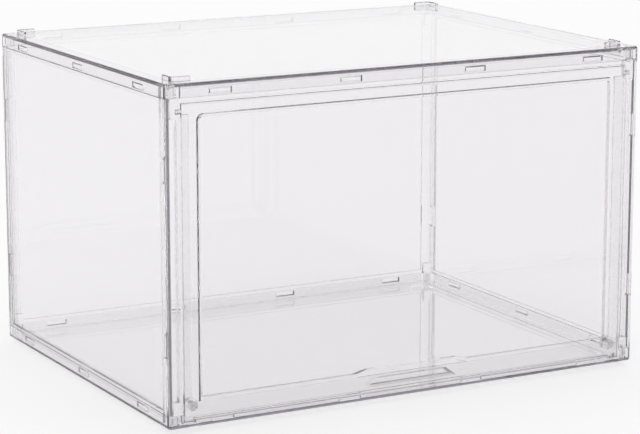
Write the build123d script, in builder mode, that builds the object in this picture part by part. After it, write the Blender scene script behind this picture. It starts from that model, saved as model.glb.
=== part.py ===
from build123d import *
import os

# A flip-front shoe box, moulded in clear plastic. Millimetres, +Z up, +X to the right, the door at -Y.
# The origin is on the surface that the box stands on, at the middle of its footprint.

os.makedirs("parts", exist_ok=True)

# Driving dimensions: the case
width = 355.0  # outside, left to right
depth = 270.0  # outside, front to back
height = 220.0  # from the underside of the base tray to the top of the cover
corner_radius = 3.0  # upright outside corners
edge_radius = 1.6  # outside edges of the cover and of the base tray
edge_break = 0.4  # softened edges where pieces meet
sheet_wall = 2.2  # the cover's sheet and the tray's floor
skirt_wall = 1.8  # rails of the cover and tray, and the plates of the posts
skirt_drop = 9.0  # how far a rail comes down over the panels
rib_inset = 9.4  # outside of the box to the stiffening rib under the cover
rib_wall = 1.6
rib_drop = 4.7  # from the cover's top to the rib's edge
fit = 0.1  # between case pieces that slide together
panel_wall = 2.0  # panels and tongues
band_width = 2.4  # the panels' flush band along the rails
side_band_width = 1.4  # the side panels' flush band along the posts
post_width = 10.3  # posts, seen from the front or the back
return_depth = 7.6  # posts, seen from the side
web_wall = 1.8
tongue_gap = 2.1  # from a corner socket to the end of a tongue

# Driving dimensions: the snap clips
clip_length = 15.0
clip_height = 3.2
clip_reach = 1.5
clip_draft = 20.0  # degrees
window_margin = 0.4  # round a clip in its window
window_edge = 1.0  # of rail left below a window
clip_count_x = 4
clip_count_y = 3
clip_count_z = 2
clip_end_x = 38.0  # from the box's side to the middle of the first clip
clip_end_y = 40.0
clip_end_z = 54.0

# Driving dimensions: the pegs that stand in the cover's and the tray's corner sockets
peg_radius = 1.6
peg_inset_x = 5.8
peg_inset_y = 4.6
peg_end_gap = 0.5
socket_wall = 1.4
socket_drop = 7.6
peg_block_depth = 7.2
peg_block_height = 8.0

# Driving dimensions: stacking lugs and feet
lug_height = 3.2
lug_wall = 2.5
lug_leg = 13.5
lug_inset = 8.0
lug_radius = 4.0
lug_edge_radius = 0.8
foot_height = 3.6
foot_length = 9.0
foot_wall = 3.0
foot_gap = 1.0  # between a foot and the lug that it stands inside when boxes are stacked
foot_setback = 17.0  # from the box's side to the foot's near end

# Driving dimensions: the door and the opening that it closes
lip_height = 4.8  # the tray's front rail below the door
lip_window_edge = 0.6
toe_notch = 2.8  # height that is left of the lip under the door's toes
toe_length = 7.0
door_thickness = 4.0  # the door's border
door_sheet = 2.4  # the door's middle
door_side_gap = 0.8
door_gap = 0.8  # under the door
door_back_gap = 0.4
door_side_border = 10.0
door_top_border = 6.7
door_bottom_border = 11.0
raised_height = 1.6  # how far the door's middle stands out from its border
raised_draft = 18.0  # degrees
raised_top_radius = 4.5
raised_edge_break = 0.3
door_top_radius = 1.4
door_edge_radius = 0.5
head_band = 2.6  # the frame above the door
head_gap = 0.9
ledge_wall = 2.0
ledge_width = 7.2  # how far the posts' ledges reach behind the door
ledge_top_drop = 2.4  # from the hinge axis down to the top of a ledge
sill_height = 15.6

# Driving dimensions: the finger scoop in the door's lower border
scoop_length = 68.0
scoop_slant = 9.0
scoop_rise = 2.2  # how far the border rises round the scoop
scoop_floor = 3.4  # from the door's bottom edge
scoop_height = 6.4
scoop_depth = 2.0
scoop_angle = 38.0  # degrees, of the scoop's slanted ends
scoop_draft = 40.0  # degrees
pull_length = 78.0  # the raised stretch of the door's bottom edge, for a fingertip
pull_height = 0.8

# Driving dimensions: the hinge
pin_radius = 1.5
pin_length = 3.6
pin_clearance = 0.05
pin_end_gap = 0.4
pin_depth = 2.4  # from the front of the box to the hinge axis
door_head = 5.0  # from the hinge axis to the door's top edge
hinge_block_drop = 4.6  # from the hinge axis to the underside of its block

# Driving dimensions: the magnets
magnet_radius = 3.0
door_magnet_length = 3.0
frame_magnet_length = 4.0
magnet_inset = 17.6  # from the box's side to a magnet's middle
magnet_rise = 13.7  # from the underside of the tray
magnet_boss_wall = 1.4
magnet_boss_end = 1.2
magnet_clearance = 0.05  # round a magnet in its pocket

# Sizes and places that follow from those
half_width = width / 2
half_depth = depth / 2
tray_bottom = foot_height
cover_top = tray_bottom + height
front = -half_depth
inside_width = width - 2 * skirt_wall
inside_depth = depth - 2 * skirt_wall
inside_radius = corner_radius - skirt_wall
post_bottom = tray_bottom + skirt_drop + fit
post_top = cover_top - skirt_drop - fit
post_height = post_top - post_bottom
post_middle = (post_top + post_bottom) / 2
panel_inset = skirt_wall + fit
panel_back = panel_inset + panel_wall
socket_radius = peg_radius + fit + socket_wall
tongue_setback = peg_inset_x + socket_radius + tongue_gap
tongue_bottom = tray_bottom + sheet_wall + fit
tongue_top = cover_top - sheet_wall - fit
tongue_height = tongue_top - tongue_bottom
tongue_length_x = width - 2 * tongue_setback
tongue_length_y = depth - 2 * tongue_setback
window_length = clip_length + 2 * window_margin
window_height = clip_height + 2 * window_margin
window_drop = skirt_drop - window_edge - window_height  # from the cover's top to a window
clip_drop = window_drop + window_height / 2  # from the cover's top to a clip's middle
clip_pitch_x = (width - 2 * clip_end_x) / (clip_count_x - 1)
clip_pitch_y = (depth - 2 * clip_end_y) / (clip_count_y - 1)
clip_pitch_z = (height - 2 * clip_end_z) / (clip_count_z - 1)
clip_rows_z = height - 2 * clip_drop
window_inset = (skirt_wall + return_depth) / 2  # from the front to the middle of a post's window
peg_bottom = tray_bottom + sheet_wall + peg_end_gap
peg_top = cover_top - sheet_wall - peg_end_gap
peg_spacing_x = width - 2 * peg_inset_x
peg_spacing_y = depth - 2 * peg_inset_y
block_outer = panel_back + 2 * fit  # from the box's side to a peg block
block_width = post_width - block_outer
opening_width = width - 2 * post_width
door_width = opening_width - 2 * door_side_gap
notch_length = toe_length + 2 * door_side_gap
door_bottom = tray_bottom + lip_height + door_gap
door_top = post_top - head_band - head_gap
axis_z = door_top - door_head
axis_y = front + pin_depth
ledge_front = front + door_thickness + door_back_gap
ledge_top = axis_z - ledge_top_drop
ledge_back = ledge_front + ledge_wall
lip_window_height = lip_height - sheet_wall - lip_window_edge - fit
lip_clip_height = lip_window_height - 2 * window_margin
lip_clip_middle = tray_bottom + lip_height - lip_window_edge - lip_window_height / 2
magnet_z = tray_bottom + magnet_rise
magnet_spacing = width - 2 * magnet_inset
raised_width = door_width - 2 * door_side_border
raised_bottom = door_bottom + door_bottom_border
raised_top = door_top - door_top_border
foot_inset = lug_inset + lug_wall + foot_gap + foot_wall / 2
foot_middle = foot_setback + foot_length / 2

# Sketch planes. On the upright planes the sketch's second axis is +Z.
cover_under = Plane.XY.offset(cover_top - sheet_wall)
tray_floor = Plane.XY.offset(tray_bottom + sheet_wall)
front_face = Plane.XZ.offset(half_depth)
left_face = Plane.YZ.offset(-half_width)


def upright_plane(y):
    """A plane across the box at y, whose sketches are seen from the front and extrude towards the back."""
    return Plane(origin=(0, y, 0), x_dir=(-1, 0, 0), z_dir=(0, 1, 0))


def corner_sockets():
    """The outlines of the four corner sockets."""
    with GridLocations(peg_spacing_x, peg_spacing_y, 2, 2):
        Circle(socket_radius)


def peg_holes():
    """The outlines of the bores of the four corner sockets."""
    with GridLocations(peg_spacing_x, peg_spacing_y, 2, 2):
        Circle(peg_radius + fit)


def rib_outline():
    """A rectangular rib that runs round under the sheet, inside the rails."""
    Rectangle(width - 2 * rib_inset, depth - 2 * rib_inset)
    rib_back = rib_inset + rib_wall
    Rectangle(width - 2 * rib_back, depth - 2 * rib_back, mode=Mode.SUBTRACT)


def side_windows():
    """The outlines of the windows in the left and right rails."""
    with GridLocations(width - skirt_wall, clip_pitch_y, 2, clip_count_y):
        Rectangle(2 * skirt_wall, window_length)


def rear_windows():
    """The outlines of the windows in the rear rail."""
    with Locations((0, half_depth - skirt_wall / 2)):
        with GridLocations(clip_pitch_x, 1, clip_count_x, 1):
            Rectangle(window_length, 2 * skirt_wall)


def front_windows():
    """The outlines of the windows in the front rail."""
    with Locations((0, front + skirt_wall / 2)):
        with GridLocations(clip_pitch_x, 1, clip_count_x, 1):
            Rectangle(window_length, 2 * skirt_wall)


def post_shell(y_sign):
    """The outline of two corner posts, each an angle that is flush with the rails."""
    RectangleRounded(width, depth, corner_radius)
    RectangleRounded(inside_width, inside_depth, inside_radius, mode=Mode.SUBTRACT)
    with Locations((0, y_sign * (half_depth - return_depth / 2))):
        with GridLocations(width - post_width, 1, 2, 1):
            Rectangle(post_width, return_depth, mode=Mode.INTERSECT)


def peg_blocks(y_sign):
    """The outlines of the blocks that the pegs of two posts stand on."""
    with Locations((0, y_sign * (half_depth - peg_block_depth / 2))):
        with GridLocations(width - 2 * block_outer - block_width, 1, 2, 1):
            Rectangle(block_width, peg_block_depth)


def pegs(y_sign):
    """The outlines of the pegs of two posts."""
    with Locations((0, y_sign * peg_spacing_y / 2)):
        with GridLocations(peg_spacing_x, 1, 2, 1):
            Circle(peg_radius)


# The base tray: a floor with rails round it, a low lip under the door, sockets and feet
with BuildPart() as base_tray:
    with BuildSketch(Plane.XY.offset(tray_bottom)):
        RectangleRounded(width, depth, corner_radius)
    extrude(amount=skirt_drop)
    fillet(base_tray.faces().sort_by(Axis.Z)[0].edges(), radius=edge_radius)
    fillet(base_tray.faces().sort_by(Axis.Z)[-1].edges(), radius=edge_break)
    with BuildSketch(tray_floor):
        RectangleRounded(inside_width, inside_depth, inside_radius)
    extrude(amount=skirt_drop - sheet_wall, mode=Mode.SUBTRACT)
    with BuildSketch(tray_floor):
        rib_outline()
    extrude(amount=rib_drop - sheet_wall)
    with BuildSketch(tray_floor):
        corner_sockets()
    extrude(amount=socket_drop - sheet_wall)
    with BuildSketch(tray_floor):
        peg_holes()
    extrude(amount=socket_drop - sheet_wall, mode=Mode.SUBTRACT)
    with BuildSketch(Plane.XY.offset(tray_bottom + window_drop)):
        side_windows()
        rear_windows()
    extrude(amount=window_height, mode=Mode.SUBTRACT)
    with BuildSketch(Plane.XY.offset(tray_bottom + lip_height)):
        with Locations((0, front)):
            Rectangle(opening_width, 2 * panel_inset)
    extrude(amount=skirt_drop - lip_height, mode=Mode.SUBTRACT)
    with BuildSketch(Plane.XY.offset(tray_bottom + toe_notch)):
        with Locations((0, front)):
            with GridLocations(opening_width - notch_length, 1, 2, 1):
                Rectangle(notch_length, 2 * panel_inset)
    extrude(amount=lip_height - toe_notch, mode=Mode.SUBTRACT)
    with BuildSketch(Plane.XY.offset(lip_clip_middle - lip_window_height / 2)):
        front_windows()
    extrude(amount=lip_window_height, mode=Mode.SUBTRACT)
    with BuildSketch(Plane.XY.offset(tray_bottom)):
        with GridLocations(width - 2 * foot_middle, depth - 2 * foot_inset, 2, 2):
            SlotOverall(foot_length, foot_wall)
        with GridLocations(width - 2 * foot_inset, depth - 2 * foot_middle, 2, 2):
            SlotOverall(foot_length, foot_wall, rotation=90)
    extrude(amount=-foot_height)
base_tray.part.label = "base_tray"

# The cover: a sheet with rails round it, a rib and sockets below it, and stacking lugs on it
with BuildPart() as top_cover:
    with BuildSketch(Plane.XY.offset(cover_top)):
        RectangleRounded(width, depth, corner_radius)
    extrude(amount=-skirt_drop)
    fillet(top_cover.faces().sort_by(Axis.Z)[-1].edges(), radius=edge_radius)
    fillet(top_cover.faces().sort_by(Axis.Z)[0].edges(), radius=edge_break)
    with BuildSketch(cover_under):
        RectangleRounded(inside_width, inside_depth, inside_radius)
    extrude(amount=sheet_wall - skirt_drop, mode=Mode.SUBTRACT)
    with BuildSketch(cover_under):
        rib_outline()
    extrude(amount=sheet_wall - rib_drop)
    with BuildSketch(cover_under):
        corner_sockets()
    extrude(amount=sheet_wall - socket_drop)
    with BuildSketch(cover_under):
        peg_holes()
    extrude(amount=sheet_wall - socket_drop, mode=Mode.SUBTRACT)
    with BuildSketch(Plane.XY.offset(cover_top - window_drop)):
        side_windows()
        rear_windows()
        front_windows()
    extrude(amount=-window_height, mode=Mode.SUBTRACT)
    with BuildSketch(Plane.XY.offset(cover_top)):
        lug_back = lug_inset + lug_wall
        RectangleRounded(width - 2 * lug_inset, depth - 2 * lug_inset, lug_radius)
        RectangleRounded(
            width - 2 * lug_back, depth - 2 * lug_back, lug_radius - lug_wall, mode=Mode.SUBTRACT
        )
        with GridLocations(width - 2 * lug_inset - lug_leg, depth - 2 * lug_inset - lug_leg, 2, 2):
            Rectangle(lug_leg, lug_leg, mode=Mode.INTERSECT)
    extrude(amount=lug_height)
    fillet(top_cover.faces().sort_by(Axis.Z)[-4:].edges(), radius=lug_edge_radius)
top_cover.part.label = "top_cover"

# The left panel: a sheet whose four edges are tongues, with a flush band and snap clips outside
with BuildPart() as left_panel:
    sheet_front = front + corner_radius
    sheet_rear = half_depth - panel_back - fit
    with BuildSketch(Plane.YZ.offset(panel_inset - half_width)):
        with Locations((0, post_middle)):
            Rectangle(tongue_length_y, tongue_height)
        with Locations(((sheet_front + sheet_rear) / 2, post_middle)):
            Rectangle(sheet_rear - sheet_front, post_height)
    extrude(amount=panel_wall)
    band_length = depth - 2 * return_depth - 2 * fit
    with BuildSketch(Plane.YZ.offset(panel_inset - half_width)):
        with Locations((0, post_middle)):
            Rectangle(band_length, post_height)
            Rectangle(
                band_length - 2 * side_band_width, post_height - 2 * band_width, mode=Mode.SUBTRACT
            )
    extrude(amount=-panel_inset)
    fillet(left_panel.faces().sort_by(Axis.X)[0].edges(), radius=edge_break)
    with BuildSketch(Plane.YZ.offset(panel_inset - half_width)):
        with Locations((0, post_middle)):
            with GridLocations(clip_pitch_y, clip_rows_z, clip_count_y, 2):
                Rectangle(clip_length, clip_height)
            with GridLocations(depth - 2 * window_inset, clip_pitch_z, 2, clip_count_z):
                Rectangle(clip_height, clip_length)
    extrude(amount=-clip_reach, taper=clip_draft)
left_panel.part.label = "left_panel"

# The right panel mirrors the left one
with BuildPart() as right_panel:
    mirror(left_panel.part, about=Plane.YZ)
right_panel.part.label = "right_panel"

# The back panel: a sheet with the two rear posts, tongues above and below, a flush band and clips
with BuildPart() as back_panel:
    sheet_plane = upright_plane(half_depth - panel_inset)
    with BuildSketch(Plane.XY.offset(post_bottom)):
        post_shell(1)
    extrude(amount=post_height)
    with BuildSketch(sheet_plane):
        with Locations((0, post_middle)):
            Rectangle(tongue_length_x, tongue_height)
            Rectangle(width - 2 * panel_inset, post_height)
    extrude(amount=-panel_wall)
    with BuildSketch(sheet_plane):
        with Locations((0, post_middle)):
            Rectangle(width - 2 * corner_radius, post_height)
            Rectangle(opening_width, post_height - 2 * band_width, mode=Mode.SUBTRACT)
    extrude(amount=panel_inset)
    fillet(back_panel.faces().sort_by(Axis.Y)[-1].inner_wires().edges(), radius=edge_break)
    with BuildSketch(sheet_plane):
        with Locations((0, post_middle)):
            with GridLocations(clip_pitch_x, clip_rows_z, clip_count_x, 2):
                Rectangle(clip_length, clip_height)
    extrude(amount=clip_reach, taper=clip_draft)
    with BuildSketch(Plane.XY.offset(post_bottom)):
        peg_blocks(1)
    extrude(amount=peg_block_height)
    with BuildSketch(Plane.XY.offset(post_top)):
        peg_blocks(1)
    extrude(amount=-peg_block_height)
    with BuildSketch(Plane.XY.offset(peg_bottom)):
        pegs(1)
    extrude(amount=post_bottom - peg_bottom)
    with BuildSketch(Plane.XY.offset(post_top)):
        pegs(1)
    extrude(amount=peg_top - post_top)
    with BuildSketch(left_face):
        with Locations((half_depth - window_inset, post_middle)):
            with GridLocations(1, clip_pitch_z, 1, clip_count_z):
                Rectangle(window_height, window_length)
    extrude(amount=skirt_wall, mode=Mode.SUBTRACT)
    with BuildSketch(Plane.YZ.offset(half_width)):
        with Locations((half_depth - window_inset, post_middle)):
            with GridLocations(1, clip_pitch_z, 1, clip_count_z):
                Rectangle(window_height, window_length)
    extrude(amount=-skirt_wall, mode=Mode.SUBTRACT)
back_panel.part.label = "back_panel"

# The front frame: two posts, the head above the door, the sill and ledges that the door closes on,
# the hinge blocks and the magnets' bosses
with BuildPart() as front_frame:
    with BuildSketch(Plane.XY.offset(post_bottom)):
        post_shell(-1)
        with Locations((0, (front + ledge_back) / 2)):
            with GridLocations(opening_width + web_wall, 1, 2, 1):
                Rectangle(web_wall, ledge_back - front)
    extrude(amount=post_height)
    inner_edges = front_frame.edges().filter_by(Axis.Z).group_by(Axis.Y)[0].sort_by(Axis.X)[1:-1]
    fillet(inner_edges, radius=edge_break)
    with BuildSketch(Plane.XY.offset(post_bottom)):
        with Locations((0, ledge_front + ledge_wall / 2)):
            with GridLocations(opening_width - ledge_width, 1, 2, 1):
                Rectangle(ledge_width, ledge_wall)
    extrude(amount=ledge_top - post_bottom)
    with BuildSketch(Plane.XY.offset(post_top - head_band)):
        with Locations((0, front + panel_back / 2)):
            Rectangle(opening_width, panel_back)
    extrude(amount=head_band)
    with BuildSketch(Plane.XY.offset(post_top)):
        with Locations((0, front + panel_inset + panel_wall / 2)):
            Rectangle(tongue_length_x, panel_wall)
    extrude(amount=tongue_top - post_top)
    with BuildSketch(Plane.XY.offset(tongue_bottom)):
        with Locations((0, (front + panel_inset + ledge_back) / 2)):
            Rectangle(tongue_length_x, ledge_back - front - panel_inset)
    extrude(amount=tray_bottom + toe_notch - tongue_bottom)
    with BuildSketch(Plane.XY.offset(tongue_bottom)):
        with Locations((0, (front + panel_inset + ledge_back) / 2)):
            Rectangle(door_width - 2 * toe_length - 2 * door_side_gap, ledge_back - front - panel_inset)
    extrude(amount=tray_bottom + lip_height - tongue_bottom)
    with BuildSketch(Plane.XY.offset(tongue_bottom)):
        with Locations((0, ledge_front + ledge_wall / 2)):
            Rectangle(tongue_length_x, ledge_wall)
    extrude(amount=post_bottom - tongue_bottom)
    with BuildSketch(Plane.XY.offset(post_bottom)):
        with Locations((0, ledge_front + ledge_wall / 2)):
            Rectangle(opening_width, ledge_wall)
    extrude(amount=tray_bottom + sill_height - post_bottom)
    with BuildSketch(Plane.XY.offset(post_bottom)):
        peg_blocks(-1)
    extrude(amount=peg_block_height)
    with BuildSketch(Plane.XY.offset(post_top)):
        peg_blocks(-1)
    extrude(amount=axis_z - hinge_block_drop - post_top)
    with BuildSketch(Plane.XY.offset(peg_bottom)):
        pegs(-1)
    extrude(amount=post_bottom - peg_bottom)
    with BuildSketch(Plane.XY.offset(post_top)):
        pegs(-1)
    extrude(amount=peg_top - post_top)
    with BuildSketch(upright_plane(ledge_front)):
        with Locations((0, magnet_z)):
            with GridLocations(magnet_spacing, 1, 2, 1):
                Circle(magnet_radius + magnet_boss_wall)
    extrude(amount=frame_magnet_length + magnet_boss_end)
    with BuildSketch(upright_plane(ledge_front)):
        with Locations((0, magnet_z)):
            with GridLocations(magnet_spacing, 1, 2, 1):
                Circle(magnet_radius + magnet_clearance)
    extrude(amount=frame_magnet_length + magnet_clearance, mode=Mode.SUBTRACT)
    with BuildSketch(Plane.YZ.offset(-opening_width / 2)):
        with Locations((axis_y, axis_z)):
            Circle(pin_radius + pin_clearance)
    extrude(amount=-(pin_length - door_side_gap + pin_end_gap), mode=Mode.SUBTRACT)
    with BuildSketch(Plane.YZ.offset(opening_width / 2)):
        with Locations((axis_y, axis_z)):
            Circle(pin_radius + pin_clearance)
    extrude(amount=pin_length - door_side_gap + pin_end_gap, mode=Mode.SUBTRACT)
    with BuildSketch(upright_plane(front + panel_inset)):
        with Locations((0, cover_top - clip_drop)):
            with GridLocations(clip_pitch_x, 1, clip_count_x, 1):
                Rectangle(clip_length, clip_height)
    extrude(amount=-clip_reach, taper=clip_draft)
    with BuildSketch(upright_plane(front + panel_inset)):
        with Locations((0, lip_clip_middle)):
            with GridLocations(clip_pitch_x, 1, clip_count_x, 1):
                Rectangle(clip_length, lip_clip_height)
    extrude(amount=-clip_reach)
    with BuildSketch(left_face):
        with Locations((front + window_inset, post_middle)):
            with GridLocations(1, clip_pitch_z, 1, clip_count_z):
                Rectangle(window_height, window_length)
    extrude(amount=skirt_wall, mode=Mode.SUBTRACT)
    with BuildSketch(Plane.YZ.offset(half_width)):
        with Locations((front + window_inset, post_middle)):
            with GridLocations(1, clip_pitch_z, 1, clip_count_z):
                Rectangle(window_height, window_length)
    extrude(amount=-skirt_wall, mode=Mode.SUBTRACT)
front_frame.part.label = "front_frame"


def raised_outline(margin):
    """The outline of the door's raised middle, less a margin, which leaves room for the scoop's border."""
    side = raised_width / 2 - margin
    bottom = raised_bottom + margin
    top = raised_top - margin
    rise_foot = scoop_length / 2 + scoop_slant
    outline = Polygon(
        (-side, bottom),
        (-rise_foot, bottom),
        (-scoop_length / 2, bottom + scoop_rise),
        (scoop_length / 2, bottom + scoop_rise),
        (rise_foot, bottom),
        (side, bottom),
        (side, top),
        (-side, top),
        align=None,
    )
    fillet(outline.vertices().group_by(Axis.Y)[-1], radius=raised_top_radius - margin)


# The door: a border with a raised middle that is hollow behind, hinge pins near its top corners,
# magnet pockets behind its bottom corners, toes beside the lip, and a finger scoop in its lower border
with BuildPart() as door:
    with BuildSketch(front_face):
        with Locations((0, (door_top + door_bottom) / 2)):
            Rectangle(door_width, door_top - door_bottom)
        with Locations((0, door_bottom)):
            with GridLocations(door_width - toe_length, 1, 2, 1):
                Rectangle(toe_length, 2 * (lip_height - toe_notch))
            Rectangle(pull_length, 2 * pull_height, mode=Mode.SUBTRACT)
    extrude(amount=-door_thickness)
    top_edges = door.faces().sort_by(Axis.Z)[-1].edges().filter_by(Axis.X)
    fillet(top_edges, radius=door_top_radius)
    rims = door.faces().sort_by(Axis.Y)[0].edges() + door.faces().sort_by(Axis.Y)[-1].edges()
    fillet(rims, radius=door_edge_radius)
    with BuildSketch(front_face):
        raised_outline(0)
    extrude(amount=raised_height, taper=raised_draft)
    raised_face = door.faces().filter_by(Axis.Y).sort_by(Axis.Y)[0]
    fillet(raised_face.edges(), radius=raised_edge_break)
    with BuildSketch(front_face.offset(-door_thickness)):
        raised_outline(door_sheet)
    extrude(amount=door_thickness + raised_height - door_sheet, mode=Mode.SUBTRACT)
    with BuildSketch(front_face):
        with Locations((0, door_bottom + scoop_floor)):
            Trapezoid(scoop_length, scoop_height, scoop_angle, align=(Align.CENTER, Align.MIN))
    extrude(amount=-scoop_depth, taper=scoop_draft, mode=Mode.SUBTRACT)
    for side in (-1, 1):
        with BuildSketch(Plane.YZ.offset(side * door_width / 2)):
            with Locations((axis_y, axis_z)):
                Circle(pin_radius)
        extrude(amount=side * pin_length)
    with BuildSketch(upright_plane(front + door_thickness)):
        with Locations((0, magnet_z)):
            with GridLocations(magnet_spacing, 1, 2, 1):
                Circle(magnet_radius + magnet_clearance)
    extrude(amount=-(door_magnet_length + magnet_clearance), mode=Mode.SUBTRACT)
door.part.label = "door"

# The magnets: discs in the door's back face, and longer ones that meet them in the frame
magnets = []
for side, side_name in ((-1, "left"), (1, "right")):
    with BuildPart() as door_magnet:
        with BuildSketch(upright_plane(front + door_thickness)):
            with Locations((-side * magnet_spacing / 2, magnet_z)):
                Circle(magnet_radius)
        extrude(amount=-door_magnet_length)
    door_magnet.part.label = "door_magnet_" + side_name
    with BuildPart() as frame_magnet:
        with BuildSketch(upright_plane(ledge_front)):
            with Locations((-side * magnet_spacing / 2, magnet_z)):
                Circle(magnet_radius)
        extrude(amount=frame_magnet_length)
    frame_magnet.part.label = "frame_magnet_" + side_name
    magnets.append(door_magnet.part)
    magnets.append(frame_magnet.part)

case = [base_tray, top_cover, left_panel, right_panel, back_panel, front_frame, door]
for piece in [item.part for item in case] + magnets:
    export_step(piece, "parts/" + piece.label + ".step")
print("hinge axis y, z:", axis_y, axis_z)
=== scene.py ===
import math

import bpy
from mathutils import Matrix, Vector


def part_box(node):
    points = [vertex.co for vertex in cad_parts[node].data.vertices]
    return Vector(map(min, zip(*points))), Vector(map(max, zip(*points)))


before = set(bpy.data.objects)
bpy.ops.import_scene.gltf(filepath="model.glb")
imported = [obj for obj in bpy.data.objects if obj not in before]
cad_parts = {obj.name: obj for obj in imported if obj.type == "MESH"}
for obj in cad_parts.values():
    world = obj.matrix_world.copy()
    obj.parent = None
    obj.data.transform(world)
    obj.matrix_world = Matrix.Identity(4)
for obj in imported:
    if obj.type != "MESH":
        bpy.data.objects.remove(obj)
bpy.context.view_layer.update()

# The studio. Lengths are in metres
FLOOR_SIZE = 12.0
FLOOR_COLOUR = 0.45  # the share of light that the floor reflects
FLOOR_GLOW = 0.72  # the floor is lit from below as well, like a light table
# The room that the plastic reflects and bends into its edges, as pairs of the sine of an elevation
# and a brightness
ROOM_BEHIND = ((0.0, 1.0), (0.32, 1.0), (0.42, 0.30), (0.70, 0.30), (0.82, 1.0))
ROOM_IN_FRONT = ((0.0, 0.85), (0.05, 0.85), (0.14, 0.22), (0.72, 0.22), (0.84, 1.0))
ROOM_TURN = (0.45, 0.80)  # cosines from +Y between which the front of the room gives way to the back
# The camera stands to the left of the box's front, a little above it, with a long lens. Lens in mm
CAMERA_YAW = math.radians(28.73)
CAMERA_PITCH = math.radians(11.88)
CAMERA_FROM_CORNER = Vector((-0.6424, -1.3693, 0.4588))  # from the tray's front left corner, on the floor
LENS = 140.5
SENSOR = 36.0
BOUNCES = 64  # light runs a long way inside clear sheets before it leaves at an edge

# The plastic. Patterns are in cycles per metre
CLEAR_COLOUR = (0.968, 0.960, 0.970)
CLEAR_IOR = 1.5
CLARITY = 0.98  # the share of light that goes through a surface; the rest is haze
DEEP_COLOUR = (0.50, 0.45, 0.535)  # the tint that grows with the thickness of plastic
DEEP_DENSITY = 7.0  # per metre
HAZE_PATTERN = 140.0
HAZE_ROUGHNESS = 0.03  # where the polish is at its worst
WAVE_PATTERN = 14.0  # long waves left by the flow in the mould
WAVE_HEIGHT = 0.0006
WAVE_STRENGTH = 0.06
RIPPLE_PATTERN = 90.0  # and short ones on top of them
RIPPLE_HEIGHT = 0.0001
RIPPLE_STRENGTH = 0.05

# The nickel plating of the magnets
NICKEL_DARK = (0.50, 0.49, 0.50)
NICKEL_LIGHT = (0.68, 0.67, 0.67)
NICKEL_ROUGHNESS = (0.12, 0.3)  # dark, light
WEAR_PATTERN = 900.0
GRAIN_PATTERN = 2500.0
GRAIN_HEIGHT = 0.00002
GRAIN_STRENGTH = 0.3

PLASTIC_NODES = (
    "base_tray", "top_cover", "left_panel", "right_panel", "back_panel", "front_frame", "door",
)
MAGNET_NODES = ("door_magnet_left", "door_magnet_right", "frame_magnet_left", "frame_magnet_right")


def new_material(name):
    """An empty node material: the material, its node tree and its output node."""
    material = bpy.data.materials.new(name)
    material.use_nodes = True
    tree = material.node_tree
    tree.nodes.clear()
    output = tree.nodes.new("ShaderNodeOutputMaterial")
    return material, tree, output


def noise(tree, scale, detail):
    """A noise pattern over the object's own coordinates, in cycles per metre."""
    coords = tree.nodes.new("ShaderNodeTexCoord")
    pattern = tree.nodes.new("ShaderNodeTexNoise")
    pattern.inputs["Scale"].default_value = scale
    pattern.inputs["Detail"].default_value = detail
    tree.links.new(coords.outputs["Object"], pattern.inputs["Vector"])
    return pattern.outputs["Fac"]


def remap(tree, value, start, end, low, high):
    """Maps the range from start to end smoothly onto low to high."""
    node = tree.nodes.new("ShaderNodeMapRange")
    node.interpolation_type = "SMOOTHSTEP"
    node.inputs["From Min"].default_value = start
    node.inputs["From Max"].default_value = end
    node.inputs["To Min"].default_value = low
    node.inputs["To Max"].default_value = high
    tree.links.new(value, node.inputs["Value"])
    return node.outputs["Result"]


def spread(tree, pattern, low, high):
    """Maps the middle of a noise pattern onto a range."""
    return remap(tree, pattern, 0.35, 0.65, low, high)


def bump(tree, pattern, height, strength, under=None):
    """A bump with a height in metres, on top of another one if it is given."""
    node = tree.nodes.new("ShaderNodeBump")
    node.inputs["Distance"].default_value = height
    node.inputs["Strength"].default_value = strength
    tree.links.new(pattern, node.inputs["Height"])
    if under:
        tree.links.new(under, node.inputs["Normal"])
    return node.outputs["Normal"]


def clear_plastic():
    """Clear moulded plastic: flow waves, an uneven polish, and a violet grey tint seen edge on."""
    material, tree, output = new_material("clear_plastic")
    shader = tree.nodes.new("ShaderNodeBsdfPrincipled")
    shader.inputs["Base Color"].default_value = (*CLEAR_COLOUR, 1)
    shader.inputs["IOR"].default_value = CLEAR_IOR
    shader.inputs["Transmission Weight"].default_value = CLARITY
    haze = noise(tree, HAZE_PATTERN, detail=4)
    tree.links.new(spread(tree, haze, 0, HAZE_ROUGHNESS), shader.inputs["Roughness"])
    waves = bump(tree, noise(tree, WAVE_PATTERN, detail=1), WAVE_HEIGHT, WAVE_STRENGTH)
    ripples = bump(
        tree, noise(tree, RIPPLE_PATTERN, detail=2), RIPPLE_HEIGHT, RIPPLE_STRENGTH, under=waves,
    )
    tree.links.new(ripples, shader.inputs["Normal"])
    tree.links.new(shader.outputs["BSDF"], output.inputs["Surface"])
    absorb = tree.nodes.new("ShaderNodeVolumeAbsorption")
    absorb.inputs["Color"].default_value = (*DEEP_COLOUR, 1)
    absorb.inputs["Density"].default_value = DEEP_DENSITY
    tree.links.new(absorb.outputs["Volume"], output.inputs["Volume"])
    return material


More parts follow.
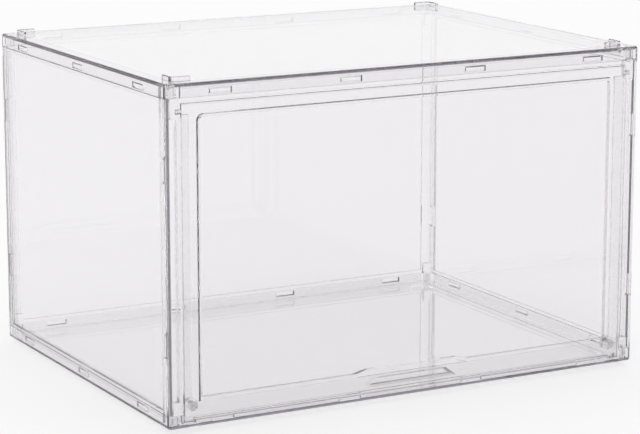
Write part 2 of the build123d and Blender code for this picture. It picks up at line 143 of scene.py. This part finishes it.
def nickel():
    """Bright nickel plating, a little worn and uneven."""
    material, tree, output = new_material("nickel")
    shader = tree.nodes.new("ShaderNodeBsdfPrincipled")
    shader.inputs["Metallic"].default_value = 1.0
    wear = noise(tree, WEAR_PATTERN, detail=3)
    tint = tree.nodes.new("ShaderNodeMix")
    tint.data_type = "RGBA"
    tint.inputs["A"].default_value = (*NICKEL_DARK, 1)
    tint.inputs["B"].default_value = (*NICKEL_LIGHT, 1)
    tree.links.new(spread(tree, wear, 0, 1), tint.inputs["Factor"])
    tree.links.new(tint.outputs["Result"], shader.inputs["Base Color"])
    tree.links.new(spread(tree, wear, *NICKEL_ROUGHNESS), shader.inputs["Roughness"])
    grain = bump(tree, noise(tree, GRAIN_PATTERN, detail=2), GRAIN_HEIGHT, GRAIN_STRENGTH)
    tree.links.new(grain, shader.inputs["Normal"])
    tree.links.new(shader.outputs["BSDF"], output.inputs["Surface"])
    return material


def floor_material():
    """A plain white light table."""
    material, tree, output = new_material("studio_floor")
    shader = tree.nodes.new("ShaderNodeBsdfPrincipled")
    shader.inputs["Base Color"].default_value = (FLOOR_COLOUR, FLOOR_COLOUR, FLOOR_COLOUR, 1)
    shader.inputs["Roughness"].default_value = 1.0
    shader.inputs["Specular IOR Level"].default_value = 0.0
    shader.inputs["Emission Color"].default_value = (1, 1, 1, 1)
    shader.inputs["Emission Strength"].default_value = FLOOR_GLOW
    tree.links.new(shader.outputs["BSDF"], output.inputs["Surface"])
    return material


def dress(names, material):
    """Gives CAD nodes one material in every slot."""
    for name in names:
        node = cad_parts[name]
        if not node.data.materials:
            node.data.materials.append(material)
        for slot in node.material_slots:
            slot.material = material


def make_camera():
    """The camera, placed from the front left corner of the tray."""
    tray_corner = Vector(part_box("base_tray")[0])
    camera_data = bpy.data.cameras.new("camera")
    camera_data.lens = LENS
    camera_data.sensor_width = SENSOR
    camera = bpy.data.objects.new("camera", camera_data)
    camera.location = tray_corner + CAMERA_FROM_CORNER
    aim = Vector((
        math.sin(CAMERA_YAW) * math.cos(CAMERA_PITCH),
        math.cos(CAMERA_YAW) * math.cos(CAMERA_PITCH),
        -math.sin(CAMERA_PITCH),
    ))
    camera.rotation_euler = aim.to_track_quat("-Z", "Y").to_euler()
    bpy.context.collection.objects.link(camera)
    bpy.context.scene.camera = camera


def make_floor():
    """The floor, which isn't part of the object."""
    mesh = bpy.data.meshes.new("floor")
    half = FLOOR_SIZE / 2
    corners = [(-half, -half, 0), (half, -half, 0), (half, half, 0), (-half, half, 0)]
    mesh.from_pydata(corners, [], [(0, 1, 2, 3)])
    floor = bpy.data.objects.new("floor", mesh)
    floor.data.materials.append(floor_material())
    bpy.context.collection.objects.link(floor)


def ramp(tree, value, points):
    """A grey ramp through pairs of a position and a brightness."""
    node = tree.nodes.new("ShaderNodeValToRGB")
    elements = node.color_ramp.elements
    while len(elements) < len(points):
        elements.new(0.5)
    for element, (position, grey) in zip(elements, points):
        element.position = position
        element.color = (grey, grey, grey, 1)
    tree.links.new(value, node.inputs["Fac"])
    return node.outputs["Color"]


def make_world():
    """A room with a white backdrop and ceiling and a white horizon, and grey walls in front of the box."""
    world = bpy.data.worlds.new("studio")
    bpy.context.scene.world = world
    world.use_nodes = True
    tree = world.node_tree
    tree.nodes.clear()
    output = tree.nodes.new("ShaderNodeOutputWorld")
    back = tree.nodes.new("ShaderNodeBackground")
    coords = tree.nodes.new("ShaderNodeTexCoord")
    axes = tree.nodes.new("ShaderNodeSeparateXYZ")
    mix = tree.nodes.new("ShaderNodeMix")
    mix.data_type = "RGBA"
    tree.links.new(coords.outputs["Generated"], axes.inputs["Vector"])
    tree.links.new(remap(tree, axes.outputs["Y"], *ROOM_TURN, 0, 1), mix.inputs["Factor"])
    tree.links.new(ramp(tree, axes.outputs["Z"], ROOM_IN_FRONT), mix.inputs["A"])
    tree.links.new(ramp(tree, axes.outputs["Z"], ROOM_BEHIND), mix.inputs["B"])
    tree.links.new(mix.outputs["Result"], back.inputs["Color"])
    tree.links.new(back.outputs["Background"], output.inputs["Surface"])


dress(PLASTIC_NODES, clear_plastic())
dress(MAGNET_NODES, nickel())
make_camera()
make_floor()
make_world()

scene = bpy.context.scene
scene.view_settings.view_transform = "Standard"
scene.cycles.max_bounces = BOUNCES
scene.cycles.transmission_bounces = BOUNCES
scene.cycles.glossy_bounces = BOUNCES
